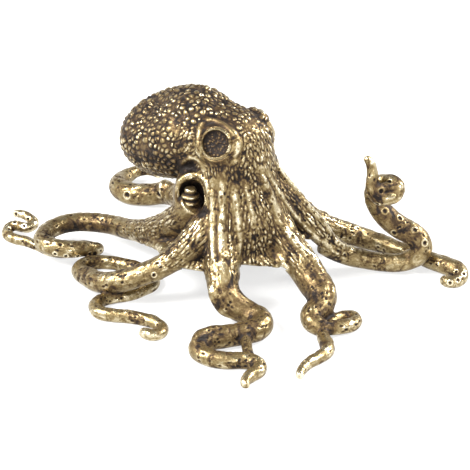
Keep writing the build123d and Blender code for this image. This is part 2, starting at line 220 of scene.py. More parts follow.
def curve_form(curve, depth, sides):
    """The tube around a curve, or its bare line where the depth is zero."""
    curve.bevel_depth = depth
    curve.bevel_resolution = sides
    curve.use_fill_caps = True
    holder = bpy.data.objects.new("line", curve)
    scene.collection.objects.link(holder)
    mesh = meshed(holder)
    form = bmesh.new()
    form.from_mesh(mesh)
    bpy.data.objects.remove(holder)
    bpy.data.meshes.remove(mesh)
    return form


arm_lines = {}
for name, shares in arm_shares.items():
    radii = [thick * arm_radius for east, north, lift, thick in shares]
    spots = []
    for (east, north, lift, thick), radius in zip(shares, radii):
        height = lift * crown_height + radius - foot_flat
        spots.append(crown + Vector((east * arm_reach, north * arm_reach, height)))
    line = curve_form(smooth_line(spots, radii, steps_per_place), 0, 0)
    points = np.array([vert.co[:] for vert in line.verts])
    line.free()
    steps = np.arange(len(points)) / steps_per_place
    arm_lines[name] = (points, np.interp(steps, range(len(radii)), radii))
    add_form(blank, curve_form(smooth_line(spots, radii, steps_per_place), 1, arm_sides))

# Web. Between neighbouring arms a thin curtain of the crown's own wax hangs from the skirt. Each
# row gives two neighbours and how far out along them, in places of their tables, the web reaches.
web_radius = 0.9 * mm
web_lift = 10.5 * mm
web_inset = 10.5 * mm
web_reaches = (
    ("front_arm", 2.4, "front_right_arm", 3.4),
    ("front_right_arm", 2.3, "raised_arm", 2.4),
    ("raised_arm", 2.5, "right_arm", 2.5),
    ("right_arm", 2.3, "rear_arm", 2.2),
    ("rear_arm", 2.2, "rear_left_arm", 2.2),
    ("rear_left_arm", 2.2, "left_arm", 2.6),
    ("left_arm", 3.1, "front_left_arm", 3.4),
    ("front_left_arm", 3.6, "front_arm", 2.9),
)
for one, one_reach, other, other_reach in web_reaches:
    corners = [
        Vector(arm_lines[name][0][int(reach * steps_per_place)])
        for name, reach in ((one, one_reach), (other, other_reach))
    ]
    outward = (corners[0] + corners[1]) / 2 - crown
    outward.z = 0
    corners.append(crown + outward.normalized() * web_inset + Vector((0, 0, web_lift)))
    web = bmesh.new()
    for corner in corners:
        bead = bmesh.ops.create_icosphere(web, subdivisions=2, radius=web_radius)
        bmesh.ops.translate(web, verts=bead["verts"], vec=corner)
    hull = bmesh.ops.convex_hull(web, input=web.verts)
    bmesh.ops.delete(web, geom=hull["geom_interior"], context="VERTS")
    add_form(blank, web)

# Brazing. The castings are brazed into one skin, and the crotches between them are filed round. The
# left eye's boss, the siphon's cavity and the free arms keep their shape.
grain = 0.2 * mm
fillet_passes = 40
fillet_strength = 0.9
free_places = 1.5
tip_places = 0.4
tip_ease = 0.05
arm_margin = 1.4
spared_fade = 1.6
spared_spots = (
    (crown + Vector((-3.45, -7.85, 33.0)) * mm, 4.0 * mm),
    (crown + Vector((-8.75, -5.65, 20.2)) * mm, 5.0 * mm),
)
station_fields = [
    ("arm", int), ("place", float), ("radius", float), ("reach", float),
    ("spot", float, 3), ("run", float, 3), ("back", float, 3),
]


def melted(form):
    """The forms as one closed skin of even grain."""
    mesh = bpy.data.meshes.new("skin")
    form.to_mesh(mesh)
    form.free()
    holder = bpy.data.objects.new("skin", mesh)
    scene.collection.objects.link(holder)
    melt = holder.modifiers.new("melt", "REMESH")
    melt.mode = "VOXEL"
    melt.voxel_size = grain
    skin = meshed(holder)
    bpy.data.objects.remove(holder)
    return skin


def read(items, name, width, kind=float):
    """One property of all the items as rows of an array."""
    values = np.empty(len(items) * width, dtype=kind)
    items.foreach_get(name, values)
    return values.reshape(-1, width)


def move(mesh, places):
    """Puts the mesh's points at the places."""
    mesh.vertices.foreach_set("co", places.ravel())
    mesh.update()


def ease(values, edges, strength, passes):
    """Draws each value towards the mean of its neighbours on the skin."""
    links = np.bincount(edges.ravel(), minlength=len(values))
    for turn in range(passes):
        for axis in range(values.shape[1]):
            column = values[:, axis]
            total = np.bincount(edges[:, 0], column[edges[:, 1]], len(values))
            total += np.bincount(edges[:, 1], column[edges[:, 0]], len(values))
            values[:, axis] += (total / links - column) * strength
    return values


line_tree = KDTree(sum(len(points) for points, radii in arm_lines.values()))
stations = []
for number, (points, radii) in enumerate(arm_lines.values()):
    tangents = np.gradient(points, axis=0)
    tangents /= np.linalg.norm(tangents, axis=1)[:, None]
    reach = np.concatenate([[0], np.cumsum(np.linalg.norm(np.diff(points, axis=0), axis=1))])
    back = Vector((0, 0, 1))
    for step, (point, tangent) in enumerate(zip(points, tangents)):
        back = (back - Vector(tangent) * back.dot(tangent)).normalized()
        line_tree.insert(point, len(stations))
        place = step / steps_per_place
        stations.append((number, place, radii[step], reach[step], point, tangent, back[:]))
line_tree.balance()
stations = np.array(stations, dtype=station_fields)


def arm_sense(places):
    """For each place the nearest arm's station, and the distance to it."""
    near = stations[[line_tree.find(place)[1] for place in places]]
    return near, np.linalg.norm(places - near["spot"], axis=1)


def before_tip(near):
    """How far each station is from its arm's tip, in places of the arm's table."""
    last_places = np.array([len(shares) - 1 for shares in arm_shares.values()])
    return last_places[near["arm"]] - near["place"]


skin = melted(blank)
places = read(skin.vertices, "co", 3)
edges = read(skin.edges, "vertices", 2, int)
near, off = arm_sense(places)
free = np.clip((near["place"] - first_own_place) / free_places, 0, 1)
free[off >= near["radius"] * arm_margin] = 0
free[before_tip(near) < tip_places] = 1 - tip_ease
for spot, reach in spared_spots:
    distance = np.linalg.norm(places - np.array(spot), axis=1)
    free = np.maximum(free, np.clip(spared_fade - distance / reach, 0, 1))
places = ease(places, edges, fillet_strength * (1 - free), fillet_passes)
move(skin, places)

# Ribs, fillings, brows and warts. Cords and beads of wax are laid on the skin, over the ribs, the
# eyes and the siphon's hood and in the coils that they fill out. A row gives a radius and the spots
# that it goes over, as the camera sights them: across and down a view of 470 by 470.
view_size = 470
view_target = crown + Vector((0, -4 * mm, 11.4 * mm))
view_distance = 420 * mm
view_elevation = math.radians(27)
view_lens = 2100
to_viewer = Vector((0, -math.cos(view_elevation), math.sin(view_elevation)))
view_up = Vector((0, math.sin(view_elevation), math.cos(view_elevation)))
view_place = view_target + to_viewer * view_distance
cord_sink = 0.45
cord_end = 0.5
cord_steps = 6
cord_sides = 4
ribs = (
    (0.75 * mm, ((213, 182), (212, 195), (212, 215), (212, 235), (213, 255), (215, 272))),
    (0.9 * mm, ((221, 178), (222, 195), (222, 215), (221, 235), (222, 255), (224, 278))),
    (0.75 * mm, ((232, 186), (235, 200), (238, 220), (240, 240), (240, 260))),
    (0.5 * mm, ((244, 182), (248, 195), (252, 210), (254, 226))),
    (1.1 * mm, ((261, 172), (265, 183), (272, 199), (279, 216), (288, 232), (300, 246), (314, 258),
                (324, 272))),
    (0.6 * mm, ((268, 172), (278, 190), (289, 207), (301, 222), (315, 236), (333, 248))),
    (0.8 * mm, ((275, 160), (297, 190), (309, 206), (323, 221), (337, 241), (351, 247))),
    (0.9 * mm, ((204, 163), (202, 150), (200, 138), (202, 125), (208, 120), (218, 121), (228, 127),
                (236, 137), (237, 150), (231, 161))),
    (0.6 * mm, ((176, 204), (176, 191), (179, 181), (187, 175), (197, 175), (205, 181), (208, 191),
                (208, 203))),
    (0.6 * mm, ((180, 168), (184, 161), (191, 158), (199, 161), (203, 169))),
)
fillings = (
    (1.6 * mm, ((211, 282), (213, 292), (217, 302), (224, 311), (236, 319))),
    (1.3 * mm, ((195, 345), (197, 337), (204, 331), (234, 324))),
    (0.9 * mm, ((239, 268), (239, 278))),
    (2.2 * mm, ((154, 187), (163, 186), (172, 185))),
    (1.0 * mm, ((128, 188), (139, 187), (150, 187))),
    (2.2 * mm, ((247, 339), (249, 356))),
    (2.2 * mm, ((379, 188), (392, 188))),
    (1.4 * mm, ((276, 253), (283, 262), (290, 274))),
    (1.5 * mm, ((300, 318), (307, 330))),
    (0.9 * mm, ((330, 280), (333, 292), (333, 304))),
    (1.5 * mm, ((58, 240), (86, 242))),
    (1.3 * mm, ((135, 241), (158, 248))),
    (1.2 * mm, ((112, 302), (134, 299))),
    (0.7 * mm, ((367, 158), (373, 163), (376, 172))),
)
warts = (
    (1.7 * mm, ((264, 117),)),
    (1.1 * mm, ((179, 86), (208, 89), (184, 93))),
    (0.8 * mm, ((172, 85), (199, 84), (227, 99), (131, 113))),
)
eye_tilt = math.radians(24)
eye_frames = {}
for name, centre, turn in (
    ("left_eye", Vector((-3.8, -7.77, 33.17)), -108),
    ("right_eye", Vector((6.57, 2.6, 33.17)), 18),
):
    level = Vector((math.cos(math.radians(turn)), math.sin(math.radians(turn)), 0))
    facing = level * math.cos(eye_tilt) + Vector((0, 0, math.sin(eye_tilt)))
    eye_frames[name] = (crown + centre * mm, facing, Vector((0, 0, 1)).cross(facing).normalized())
brow_radius = 0.8 * mm
brow_ring = 3.9 * mm
brow_angles = range(-120, 121, 30)
brow_start = 6 * mm


def seen_at(tree, sight):
    """The place and the normal of the skin that the camera sights there, or nothing."""
    across, down = sight
    ray = Vector((across - view_size / 2, 0, 0)) + view_up * (view_size / 2 - down)
    ray -= to_viewer * view_lens
    return tree.ray_cast(view_place, ray.normalized())[:2]


def lay_cord(whole, radius, hits):
    """A cord of wax pressed into the skin at the places that were hit."""
    spots = [place - normal * radius * cord_sink for place, normal in hits if place]
    radii = [radius] * len(spots)
    radii[0] = radii[-1] = radius * cord_end
    add_form(whole, curve_form(smooth_line(spots, radii, cord_steps), 1, cord_sides))


built = bmesh.new()
built.from_mesh(skin)
tree = BVHTree.FromBMesh(built)
cord_lines = []
for radius, sights in ribs + fillings:
    hits = [seen_at(tree, sight) for sight in sights]
    lay_cord(built, radius, hits)
    cord_lines.append((radius, [place for place, normal in hits if place]))
centre, facing, side = eye_frames["right_eye"]
over = facing.cross(side)
hits = []
for angle in brow_angles:
    turn = math.radians(angle)
    start = centre + facing * brow_start
    start += (over * math.cos(turn) + side * math.sin(turn)) * brow_ring
    hits.append(tree.ray_cast(start, -facing)[:2])
lay_cord(built, brow_radius, hits)
for radius, sights in warts:
    for sight in sights:
        place, normal = seen_at(tree, sight)
        if place:
            wart = bmesh.new()
            bead = bmesh.ops.create_icosphere(wart, subdivisions=3, radius=radius)
            bmesh.ops.translate(wart, verts=bead["verts"], vec=place - normal * radius * cord_sink)
            add_form(built, wart)
skin = melted(built)

# Beads, wrinkles and pits. The wax is beaded over the mantle and the top of the head, combed into
# wrinkles down the skirt, and pricked along the arms. All of it is cast with the rest.
tile = 32
seed_margin = 0.1
neck = crown + Vector((-3.5, 1.3, 30.9)) * mm
mantle_run = Vector((-0.58, 0.66, -0.30)).normalized()
mantle_side = mantle_run.cross(Vector((0, 0, 1))).normalized()
mantle_top = mantle_side.cross(mantle_run)
bead_size = np.array((1.5, 1.25, 1.25)) * mm
bead_height = 0.5 * mm
patch_size = 4.0 * mm
patch_lift = 0.55
patch_more = 0.6
fold_size = np.array((6.0, 1.5, 1.5)) * mm
fold_height = 0.3 * mm
wrinkle_size = np.array((3.4, 0.8, 0.8)) * mm
wrinkle_height = 0.2 * mm
peel_size = np.array((1.3, 0.6, 0.6)) * mm
peel_height = 0.12 * mm
pit_size = np.array((1.3, 1.0, 1.0)) * mm
pit_depth = 0.16 * mm
pit_edge = (0.16, 0.36)
pit_field = 4.5 * mm
pit_field_edge = (0.45, 0.7)
ripple_size = 2.4 * mm
ripple_height = 0.12 * mm
dome_width = 0.66
groove_width = 0.35
bead_mean = 0.5
dome_mean = 0.4
past_neck_edge = (-1 * mm, 3 * mm)
over_arms_edge = (20 * mm, 24 * mm)
on_top_edge = (33.5 * mm, 36.5 * mm)
fold_edge = (-9 * mm, -4 * mm)
arm_edge = (first_own_place - 0.5, first_own_place + 1.5)
tip_edge = (tip_places, tip_places + 0.5)
under_edge = (-0.5, 0)
arm_spacing = 40 * mm
arm_comb = 0.15


def smooth_step(values, low, high):
    """0 below the low value, 1 above the high one, and a smooth rise between."""
    share = np.clip((values - low) / (high - low), 0, 1)
    return share * share * (3 - 2 * share)


def scattered(spots, seed):
    """How far each spot is from the nearest and the next of scattered seeds, one to a unit cube."""
    jitter = np.random.default_rng(seed).random((tile, tile, tile, 3))
    jitter = seed_margin + (1 - 2 * seed_margin) * jitter
    home = np.floor(spots).astype(int)
    first = np.full(len(spots), 9.0)
    second = first.copy()
    for step in np.ndindex(3, 3, 3):
        cube = home + np.array(step) - 1
        wrapped = cube % tile
        seeds = cube + jitter[wrapped[:, 0], wrapped[:, 1], wrapped[:, 2]]
        reach = np.linalg.norm(spots - seeds, axis=1)
        second = np.minimum(second, np.maximum(first, reach))
        first = np.minimum(first, reach)
    return first, second


def dots(some, others):
    """The dot product of each pair of rows."""
    return np.einsum("ij,ij->i", some, others)


def domes(spots, seed):
    """Rounded beads, from 0 in their grooves to 1 on their tops."""
    first, second = scattered(spots, seed)
    tops = np.clip(1 - (first / dome_width) ** 2, 0, 1)
    return tops * smooth_step(second - first, 0, groove_width)


places = read(skin.vertices, "co", 3)
edges = read(skin.edges, "vertices", 2, int)
places = ease(places, edges, np.full(len(places), 0.5), 3)
move(skin, places)
normals = read(skin.vertices, "normal", 3)
near, off = arm_sense(places)
stray = places - near["spot"]
flow = np.stack([
    near["reach"] + dots(stray, near["run"]),
    dots(stray, np.cross(near["run"], near["back"])),
    dots(stray, near["back"]),
], axis=1)
mantle_flow = (places - np.array(neck)) @ np.array([mantle_run, mantle_side, mantle_top]).T
high = smooth_step(places[:, 2], *over_arms_edge)
beaded = smooth_step(mantle_flow[:, 0], *past_neck_edge) * high
beaded = np.maximum(beaded, smooth_step(places[:, 2], *on_top_edge))
flow = np.where(
    beaded[:, None] > 0.5, mantle_flow, flow + near["arm"][:, None] * arm_spacing
)
on_arms = smooth_step(near["place"], *arm_edge) * (1 - beaded)
combed = (1 - beaded) * (1 - (1 - arm_comb) * on_arms)
folded = beaded * (1 - smooth_step(mantle_flow[:, 2], *fold_edge))
pit = 1 - smooth_step(scattered(flow / pit_size, 4)[0], *pit_edge)
pit *= (1 - beaded) * (1 - smooth_step(scattered(flow / pit_field, 6)[0], *pit_field_edge))

# Chasing. The caster's finisher works over the wax by hand: ribs, eye bosses and hood are left
# smooth, a few broad dents are pressed in, and the suckers are stamped where an arm shows them.
rib_margin = (0.6, 1.0)
rib_radius_share = 1.5
rib_steps = 8
rib_end = 0.95
eye_calm = 4.8 * mm
siphon_calm = (crown + Vector((-8.8, -5.6, 20.2)) * mm, 5.0 * mm)
calm_edge = 0.75
calm_passes = 12
calm_lift = 0.15
pit_stain = 0.35
cup_stain = 0.5
dent_spread = 2
dents = (
    (0.84 * mm, 6.5 * mm, ((152, 98), (142, 106), (160, 93))),
    (0.42 * mm, 5.0 * mm, ((226, 103), (240, 110))),
    (-0.35 * mm, 5.0 * mm, ((124, 135), (126, 150))),
)
sucker_reach = 1.7
sucker_rim = 0.85
sucker_rim_width = 0.25
sucker_rim_height = 0.6
sucker_cup = (0.25, 0.75)
sucker_edge = (1.2, sucker_reach)
suckers = (
    (0.95 * mm, 0.2 * mm, ((127, 195), (159, 194))),
    (0.75 * mm, 0.18 * mm, ((394, 233), (410, 245), (425, 243), (415, 230), (400, 218), (381, 191),
                            (389, 182), (377, 204), (385, 211))),
    (0.6 * mm, 0.16 * mm, ((9, 229), (15, 222), (24, 226), (28, 219), (16, 214),
                           (450, 283), (458, 280), (464, 274), (456, 272), (448, 276))),
    (0.55 * mm, 0.2 * mm, ((55, 254), (66, 256), (78, 256), (90, 254), (154, 275), (160, 280))),
)
shell = bmesh.new()
shell.from_mesh(skin)
tree = BVHTree.FromBMesh(shell)
shell.free()


def around(tree, sight, radius):
    """Which points lie near the skin's place at a sight, on its side, and how far off they are."""
    place, normal = seen_at(tree, sight)
    if place is None:
        return np.zeros(0, int), np.zeros(0)
    reach = np.linalg.norm(places - np.array(place), axis=1)
    near_it = np.flatnonzero((reach < radius) & (normals @ np.array(normal) > 0))
    return near_it, reach[near_it] / radius


ribbed = np.zeros(len(places))
shown = np.flatnonzero((on_arms < rib_end) & (normals @ np.array(to_viewer) > 0))
rib_tree = KDTree(sum(len(spots) * rib_steps for radius, spots in cord_lines))
rib_radii = []
for radius, spots in cord_lines:
    spots = np.array([spot[:] for spot in spots])
    steps = np.linspace(0, len(spots) - 1, len(spots) * rib_steps)
    for step in steps:
        point = [np.interp(step, range(len(spots)), spots[:, axis]) for axis in range(3)]
        rib_tree.insert(point, len(rib_radii))
        rib_radii.append(radius)
rib_tree.balance()
for index in shown:
    point, number, reach = rib_tree.find(places[index])
    ribbed[index] = reach / rib_radii[number] / rib_radius_share
ribbed[shown] = 1 - np.clip(
    (ribbed[shown] - rib_margin[0]) / (rib_margin[1] - rib_margin[0]), 0, 1
)
patches = patch_lift + patch_more * domes(mantle_flow / patch_size, 9)
lift = (domes(mantle_flow / bead_size, 1) - bead_mean) * bead_height * (1 - 0.5 * folded)
lift *= beaded * patches * (1 - ribbed)
lift -= pit * pit_depth * (1 - 0.6 * ribbed)
for area, senses, size, seed, height, rib_calm in (
    (folded, mantle_flow, fold_size, 7, fold_height, 0),
    (combed, flow, wrinkle_size, 3, wrinkle_height, 0.95),
    (combed, flow, peel_size, 8, peel_height, 0.9),
    (1 - beaded, places, ripple_size, 5, ripple_height, 0),
):
    lift += area * (domes(senses / size, seed) - dome_mean) * height * (1 - rib_calm * ribbed)
calm = np.ones(len(places))
calm_spots = [(centre, eye_calm) for centre, facing, side in eye_frames.values()] + [siphon_calm]
for centre, reach in calm_spots:
    distance = np.linalg.norm(places - np.array(centre), axis=1)
    calm = np.minimum(calm, smooth_step(distance, reach * calm_edge, reach))
places = ease(places, edges, 0.5 * (1 - calm), calm_passes)
lift *= calm_lift + (1 - calm_lift) * calm
lift *= np.where(high > 0, 1, smooth_step(normals[:, 2], *under_edge))
lift *= smooth_step(before_tip(near), *tip_edge)
stain_and_painted_shade = pit * pit_stain
for depth, radius, sights in dents:
    for sight in sights:
        chosen, share = around(tree, sight, radius * dent_spread)
        lift[chosen] -= depth * np.exp(-(share * dent_spread) ** 2)
for radius, height, sights in suckers:
    for sight in sights:
        chosen, share = around(tree, sight, radius * sucker_reach)
        share = share * sucker_reach
        rim = np.exp(-((share - sucker_rim) / sucker_rim_width) ** 2)
        cup = 1 - smooth_step(share, *sucker_cup)
        fade = smooth_step(share, *sucker_edge)
        lift[chosen] = lift[chosen] * fade + height * (sucker_rim_height * rim - cup)
        stain_and_painted_shade[chosen] = np.maximum(stain_and_painted_shade[chosen] * fade, cup_stain * cup)
places += normals * lift[:, None]
places = np.clip(places, np.array(cad_bounds[0]), np.array(cad_bounds[1]))
places[:, 2] = np.maximum(places[:, 2], 0)
move(skin, places)

# Antiquing. The brass is darkened all over in liver of sulphur, then rubbed back, so that the
# hollows keep their brown and the ridges come up bright. Each point learns how proud it stands.
fine_passes = 3
broad_passes = 24
fine_relief = 0.06 * mm
broad_relief = 0.35 * mm
relief_limit = 1.5
level_wear = 0.5
fine_wear = 0.2
broad_wear = 0.25
stain_and_painted_shade_weight = 0.5
mantle_shade = 0.14
eye_shade = 0.25
eye_shade_edge = (3.4 * mm, 4.2 * mm)
rib_shine = 0.12
patch_core = 0.3
# Painted shade: the siphon's cavity, the inner walls of the coiled arms and hollows about the head
# and skirt are darkened where shade falls.
painted_shade_and_tone_patches = (
    (3.2 * mm, 0.4, ((231, 172), (240, 178), (222, 170))),
    (4.5 * mm, 0.15, ((262, 232), (272, 243), (256, 245), (284, 252))),
    (2.5 * mm, 0.5, ((80, 228), (95, 229), (68, 229), (106, 228))),
    (3.0 * mm, 0.45, ((396, 222), (404, 236), (386, 212), (413, 240))),
    (2.2 * mm, 0.5, ((376, 196), (384, 186), (377, 182))),
    (3.0 * mm, 0.4, ((150, 158), (165, 163), (178, 165))),
    # Darker tone, broad and faint, over the front arms.
    (8.0 * mm, 0.2, ((225, 310), (250, 335), (210, 340), (312, 285), (320, 315))),
    (2.0 * mm, 1.0, ((191, 167), (184, 186), (200, 188), (204, 200), (181, 196), (202, 212))),
)


def brass_lightness(mesh, edges):
    """From 0 in the hollows to 1 on the ridges, by how proud of its surroundings a point stands."""
    places = read(mesh.vertices, "co", 3)
    normals = read(mesh.vertices, "normal", 3)
    level = ease(places.copy(), edges, np.ones(len(places)), fine_passes)
    fine = np.clip(dots(places - level, normals) / fine_relief, -relief_limit, relief_limit)
    level = ease(level, edges, np.ones(len(places)), broad_passes)
    broad = np.clip(dots(places - level, normals) / broad_relief, -relief_limit, relief_limit)
    return level_wear + fine_wear * fine + broad_wear * broad


def keep(mesh, name, kind, values):
    """Stores values on the mesh's points for its material to read."""
    layer = mesh.attributes.new(name, kind, "POINT")
    layer.data.foreach_set("vector" if kind == "FLOAT_VECTOR" else "value", values.ravel())


# The painted shade and the front arms' darker tone are laid in at their spots, over the stains of
# pits and cups.
for radius, amount, sights in painted_shade_and_tone_patches:
    for sight in sights:
        chosen, share = around(tree, sight, radius)
        dark = amount * (1 - smooth_step(share, patch_core, 1))
        stain_and_painted_shade[chosen] = np.maximum(stain_and_painted_shade[chosen], dark)
shade = stain_and_painted_shade_weight * stain_and_painted_shade + mantle_shade * beaded - rib_shine * ribbed * (1 - beaded)
for centre, facing, side in eye_frames.values():
    off_eye = np.linalg.norm(places - np.array(centre), axis=1)
    shade += eye_shade * (1 - smooth_step(off_eye, *eye_shade_edge))
keep(skin, "brass_lightness", "FLOAT", np.clip(brass_lightness(skin, edges) - shade, 0, 1))
keep(skin, "flow", "FLOAT_VECTOR", flow)

# Castings. The brazed skin is parted at its joints: each arm where it meets the crown, and the
# mantle at the neck. The cut ends are closed, as those of the castings are. The crown is smooth
# underneath, where it was never chased.
joint_reach = 1.5 * mm
joint_room = 7 * mm
neck_room = 20 * mm
neck_floor = 18 * mm
cut_width = 2 * grain
under_slope = -0.3
under_ratio = 0.6
piece_names = list(arm_shares) + ["head_web", "mantle"]
crown_label = len(arm_shares)
joints = [
    (stations[(stations["arm"] == number) & (stations["place"] == first_own_place)][0], number)
    for number in range(len(arm_shares))
]


def piece_labels(places):
    """The number of the casting that each place belongs to."""
    near, off = arm_sense(places)
    labels = np.full(len(places), crown_label)
    for joint, number in joints:
        mine = (near["arm"] == number) & (off < near["radius"] * arm_margin + joint_reach)
        past = (places - joint["spot"]) @ joint["run"] > 0
        past |= near["place"] > first_own_place + 1
        labels[mine & past & (near["place"] > first_own_place - 1)] = number
    beyond = (places - np.array(neck)) @ np.array(mantle_run) > 0
    labels[beyond & (places[:, 2] > neck_floor) & (labels == crown_label)] = crown_label + 1
    return labels


def cut(form, middles, place, run, room, floor):
    """Cuts the skin along a plane, within some room of a joint and above a floor."""
    side = np.abs((middles - np.array(place)) @ np.array(run)) < cut_width
    close = np.linalg.norm(middles - np.array(place), axis=1) < room
    form.faces.ensure_lookup_table()
    faces = [form.faces[index] for index in np.flatnonzero(side & close & (middles[:, 2] > floor))]
    verts = {vert for face in faces for vert in face.verts}
    links = {edge for face in faces for edge in face.edges}
    bmesh.ops.bisect_plane(form, geom=[*verts, *links, *faces], plane_co=place, plane_no=run)


def islands(form, labels):
    """The groups of joined faces that have the same label."""
    seen = np.zeros(len(labels), bool)
    groups = []
    for start in form.faces:
        if seen[start.index]:
            continue
        seen[start.index] = True
        group = [start]
        for face in group:
            for other in {other for edge in face.edges for other in edge.link_faces}:
                if not seen[other.index] and labels[other.index] == labels[start.index]:
                    seen[other.index] = True
                    group.append(other)
        groups.append(group)
    return groups


def without_strays(form, labels):
    """The labels, with each stray island given to the casting that surrounds it."""
    groups = islands(form, labels)
    largest = np.zeros(crown_label + 2, int)
    for group in groups:
        label = labels[group[0].index]
        largest[label] = max(largest[label], len(group))
    settled = labels.copy()
    for group in groups:
        label = labels[group[0].index]
        beside = {other for face in group for edge in face.edges for other in edge.link_faces}
        others = [labels[face.index] for face in beside if labels[face.index] != label]
        if len(group) < largest[label] and others:
            settled[[face.index for face in group]] = np.bincount(others).argmax()
    return settled


form = bmesh.new()
form.from_mesh(skin)
middles = read(skin.polygons, "center", 3)
cut(form, middles, neck, mantle_run, neck_room, neck_floor)
for joint, number in joints:
    cut(form, middles, joint["spot"], joint["run"], joint_room, 0)
form.faces.index_update()
parted = bpy.data.meshes.new("castings")
form.to_mesh(parted)
for name in piece_names:
    parted.materials.append(bpy.data.materials.new(name))
labels = without_strays(form, piece_labels(read(parted.polygons, "center", 3)))
form.free()
parted.polygons.foreach_set("material_index", labels.astype(np.int32))
castings = bpy.data.objects.new("castings", parted)
scene.collection.objects.link(castings)
bpy.context.view_layer.objects.active = castings
castings.select_set(True)
bpy.ops.object.mode_set(mode="EDIT")
bpy.ops.mesh.separate(type="MATERIAL")
bpy.ops.object.mode_set(mode="OBJECT")
pieces = {}
for piece in [piece for piece in scene.objects if piece.name.startswith("castings")]:
    name = piece.data.materials[piece.data.polygons[0].material_index].name
    form = bmesh.new()
    form.from_mesh(piece.data)
    bmesh.ops.holes_fill(form, edges=[edge for edge in form.edges if edge.is_boundary], sides=0)
    form.faces.index_update()
    bubbles = sorted(islands(form, np.zeros(len(form.faces))), key=len)[:-1]
    bubble_faces = [face for group in bubbles for face in group]
    bmesh.ops.delete(form, geom=bubble_faces, context="FACES")
    for face in form.faces:
        face.material_index = 0
        face.smooth = True
    form.to_mesh(piece.data)
    form.free()
    if name == "head_web":
        under = np.flatnonzero(read(piece.data.vertices, "normal", 3)[:, 2] < under_slope)
        piece.vertex_groups.new(name="under").add(under.tolist(), 1, "REPLACE")
        thin = piece.modifiers.new("thin", "DECIMATE")
        thin.vertex_group = "under"
        thin.ratio = under_ratio
        piece.data = meshed(piece)
        piece.modifiers.clear()
        piece.vertex_groups.clear()
    piece.data.materials.clear()
    piece.name = name + "_casting"
    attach(piece, "root")
    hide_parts(name)
    pieces[name] = piece

# Eyes. Each is a brass cup, turned with a thin bright lip round a rough dark dish, and pressed
# into the boss at the side of the head.
eye_profile = (
    (0.0, -0.8), (1.1, -0.78), (2.0, -0.66), (2.45, -0.4), (2.68, 0.0), (2.76, 0.1),
    (2.84, 0.1), (2.96, -0.04), (3.15, -0.18), (3.3, -0.5), (3.3, -1.6), (0.0, -1.6),
)
eye_turns = 96
dish_radius = 2.8 * mm
dish_edge = 0.3 * mm
dish_depth = 1.2 * mm
dish_grain = 0.55 * mm
dish_height = 0.16 * mm
lip_wear = 0.7
dish_wear = 0.08
dish_bead_wear = 0.4

for name, (centre, facing, side) in eye_frames.items():
    cup = bmesh.new()
    verts = [cup.verts.new(centre + side * out * mm + facing * up * mm) for out, up in eye_profile]
    links = [cup.edges.new(pair) for pair in zip(verts, verts[1:])]
    bmesh.ops.subdivide_edges(cup, edges=links, cuts=3)
    bmesh.ops.spin(
        cup, geom=cup.verts[:] + cup.edges[:], cent=centre, axis=facing, angle=math.tau,
        steps=eye_turns, use_merge=True,
    )
    bmesh.ops.remove_doubles(cup, verts=cup.verts, dist=0.005 * mm)
    bmesh.ops.recalc_face_normals(cup, faces=cup.faces)
    for face in cup.faces:
        face.smooth = True
    mesh = bpy.data.meshes.new(name)
    cup.to_mesh(mesh)
    cup.free()
    places = read(mesh.vertices, "co", 3)
    stray = places - np.array(centre)
    depth = stray @ np.array(facing)
    out = np.linalg.norm(stray - depth[:, None] * np.array(facing), axis=1)
    in_dish = 1 - smooth_step(out, dish_radius - dish_edge, dish_radius)
    in_dish *= depth > -dish_depth
    rough = domes(places / dish_grain, 5)
    places += np.array(facing) * ((rough - dome_mean) * dish_height * in_dish)[:, None]
    move(mesh, places)
    wear = dish_wear + dish_bead_wear * rough
    keep(mesh, "brass_lightness", "FLOAT", lip_wear + in_dish * (wear - lip_wear))
    keep(mesh, "flow", "FLOAT_VECTOR", stray)
    eye = bpy.data.objects.new(name + "_cup", mesh)
    scene.collection.objects.link(eye)
    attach(eye, "root")
    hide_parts(name)
    pieces[name] = eye

# Siphon. It is a small knob of brass, cast in rings, on a stem that is pressed into the back of its
# hooded hollow.
knob_shade = 0.22
knob_ridge = 0.22 * mm
knob_height = 0.22 * mm
knob_sink = 0.3
knob = melted(wax_copy("siphon", 0))
knob_edges = read(knob.edges, "vertices", 2, int)
places = read(knob.vertices, "co", 3)
places = ease(places, knob_edges, np.full(len(places), 0.5), 3)
move(knob, places)
rings = (np.sin(places[:, 2:] / knob_ridge) - knob_sink) * knob_height
places += read(knob.vertices, "normal", 3) * rings
move(knob, places)
keep(knob, "brass_lightness", "FLOAT", brass_lightness(knob, knob_edges) - knob_shade)
keep(knob, "flow", "FLOAT_VECTOR", places)
for face in knob.polygons:
    face.use_smooth = True
siphon = bpy.data.objects.new("siphon_knob", knob)
scene.collection.objects.link(siphon)
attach(siphon, "root")
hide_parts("siphon")
pieces["siphon"] = siphon

# Antiqued brass. A chemical patina, brown to nearly black, sits in the hollows; the brass under it
# is rubbed bright on the ridges. The bare metal is smooth and mirrors the room, the patina is dull,
# and both are peppered with the fine pores of an investment casting.
patina_stops = (
    (0.1, "#17100C"), (0.28, "#38291A"), (0.44, "#625034"), (0.62, "#93825D"), (0.88, "#EADFC2"),
)
blotch_size = 1.6 * mm
speck_size = 0.35 * mm
stain_size = 2.6 * mm
stain_depth = 0.4
blotch_share = 0.45
speck_share = 0.26
patina_level = 0.37
pore_size = 0.3 * mm
pore_depth = 0.12 * mm


def linear(code):
    """The linear colour of an sRGB hex value."""
    shares = [int(code[start:start + 2], 16) / 255 for start in (1, 3, 5)]
    return [
        share / 12.92 if share <= 0.04045 else ((share + 0.055) / 1.055) ** 2.4 for share in shares
    ] + [1]


